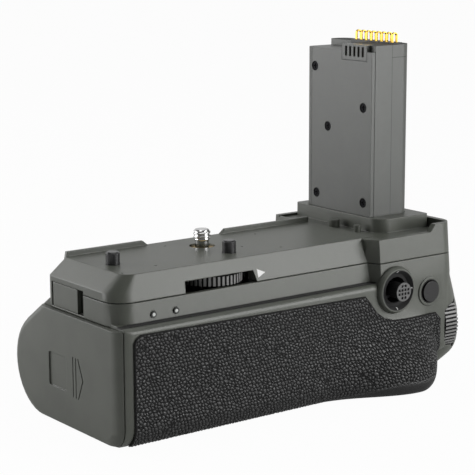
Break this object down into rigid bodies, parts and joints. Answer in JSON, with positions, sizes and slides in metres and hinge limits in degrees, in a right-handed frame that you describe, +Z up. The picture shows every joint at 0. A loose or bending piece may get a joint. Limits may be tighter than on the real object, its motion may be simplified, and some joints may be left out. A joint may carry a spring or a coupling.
{
  "type": "camera battery grip",
  "caption": "Vertical battery grip for a mirrorless camera, with a battery tower, a geared attachment screw, a battery door and a second set of controls",
  "frame": {"origin": "centre of the tripod socket's mouth in the base", "axes": "+X along the length to the shutter end, +Y to the front of the camera, +Z up"},
  "size_m": [0.1667, 0.0849, 0.1351],
  "materials": {
    "shell_plastic": "fine spark-eroded grain",
    "grip_rubber": "pebbled leather grain",
    "black_plastic": "satin moulded",
    "cap_rubber": "cross-hatched",
    "blackened_steel": "black oxide",
    "bright_steel": "turned and stamped",
    "chrome_screw": "polished plating",
    "aluminium_bush": "turned",
    "brass_bush": "turned",
    "gold_contacts": "gold plated",
    "board": "solder mask",
    "light_pipe": "clear moulded"
  },
  "bodies": {
    "housing": {"main_shell": "shell_plastic", "top_cover": "shell_plastic", "tower_shell": "shell_plastic", "tower_cover": "shell_plastic", "joystick_bezel": "shell_plastic", "contact_comb": "shell_plastic", "rear_grip_rubber": "grip_rubber", "front_grip_rubber": "grip_rubber", "battery_bay": "black_plastic", "battery_contact_blocks": "black_plastic", "pin_carrier": "black_plastic", "joystick_housing": "black_plastic", "locating_pegs": "black_plastic", "case_screws": "blackened_steel", "tower_screws": "blackened_steel", "wheel_pin": "bright_steel", "rear_dial_pin": "bright_steel", "front_dial_pin": "bright_steel", "door_hinge_pin": "bright_steel", "usb_hinge_pin": "bright_steel", "eject_springs": "bright_steel", "gear_bracket": "bright_steel", "usb_port": "bright_steel", "tact_switches": "bright_steel", "tripod_bush": "aluminium_bush", "screw_bush": "brass_bush", "data_contacts": "gold_contacts", "comb_contacts": "gold_contacts", "battery_contact_blades": "gold_contacts", "main_board": "board", "control_board": "board", "shutter_board": "board", "led_pipes": "light_pipe"},
    "lock_wheel": {"lock_wheel": "black_plastic"},
    "attachment_screw": {"attachment_screw": "chrome_screw", "screw_pinion": "bright_steel"},
    "rear_dial": {"rear_dial": "black_plastic"},
    "front_dial": {"front_dial": "black_plastic"},
    "shutter_button": {"shutter_button": "black_plastic"},
    "shutter_lock_ring": {"shutter_lock_ring": "black_plastic"},
    "rear_button": {"rear_button": "black_plastic"},
    "joystick_gimbal": {"joystick_gimbal": "bright_steel"},
    "joystick_stem": {"joystick_stem": "black_plastic"},
    "joystick_cap": {"joystick_cap": "cap_rubber"},
    "usb_cover": {"usb_cover": "shell_plastic"},
    "door_sleeve": {"door_sleeve": "bright_steel"},
    "battery_door": {"battery_door": "shell_plastic"}
  },
  "joints": [
    {"name": "lock_wheel_turn", "type": "hinge", "parent": "housing", "child": "lock_wheel", "pos_m": [-0.02037, -0.01594, 0.053], "axis": [0, 0, 1], "continuous": true},
    {"name": "attachment_screw_turn", "type": "hinge", "parent": "housing", "child": "attachment_screw", "pos_m": [-0.012, 0, 0.06], "axis": [0, 0, 1], "continuous": true},
    {"name": "rear_dial_turn", "type": "hinge", "parent": "housing", "child": "rear_dial", "pos_m": [0.0835, -0.0206, 0.022], "axis": [1, 0, 0], "continuous": true},
    {"name": "front_dial_turn", "type": "hinge", "parent": "housing", "child": "front_dial", "pos_m": [0.074, 0.0295, 0.024], "axis": [1, 0, 0], "continuous": true},
    {"name": "shutter_press", "type": "slide", "parent": "housing", "child": "shutter_button", "axis": [-1, 0, 0], "range_m": [0, 0.0012], "stiffness_N_per_m": 300},
    {"name": "shutter_lock_turn", "type": "hinge", "parent": "housing", "child": "shutter_lock_ring", "pos_m": [0.094, 0.012, 0.021], "axis": [1, 0, 0], "range_deg": [0, 40]},
    {"name": "rear_button_press", "type": "slide", "parent": "housing", "child": "rear_button", "axis": [0, 1, 0], "range_m": [0, 0.0008], "stiffness_N_per_m": 300},
    {"name": "joystick_tilt_up_down", "type": "hinge", "parent": "housing", "child": "joystick_gimbal", "pos_m": [0.0535, -0.027, 0.0402], "axis": [1, 0, 0], "range_deg": [-8, 8]},
    {"name": "joystick_tilt_left_right", "type": "hinge", "parent": "joystick_gimbal", "child": "joystick_stem", "pos_m": [0.0535, -0.027, 0.0402], "axis": [0, 0, 1], "range_deg": [-8, 8]},
    {"name": "joystick_press", "type": "slide", "parent": "joystick_stem", "child": "joystick_cap", "axis": [0, 1, 0], "range_m": [0, 0.0005], "stiffness_N_per_m": 300},
    {"name": "usb_cover_swing", "type": "hinge", "parent": "housing", "child": "usb_cover", "pos_m": [-0.06775, 0.01195, 0.0475], "axis": [0, 0, -1], "range_deg": [0, 95]},
    {"name": "door_slide", "type": "slide", "parent": "housing", "child": "door_sleeve", "axis": [0, -1, 0], "range_m": [0, 0.004]},
    {"name": "door_swing", "type": "hinge", "parent": "door_sleeve", "child": "battery_door", "pos_m": [-0.067, -0.007, 0.0012], "axis": [0, -1, 0], "range_deg": [0, 85]}
  ],
  "couplings": [
    {"joint": "attachment_screw_turn", "follows": "lock_wheel_turn", "ratio": -1.1053}
  ]
}
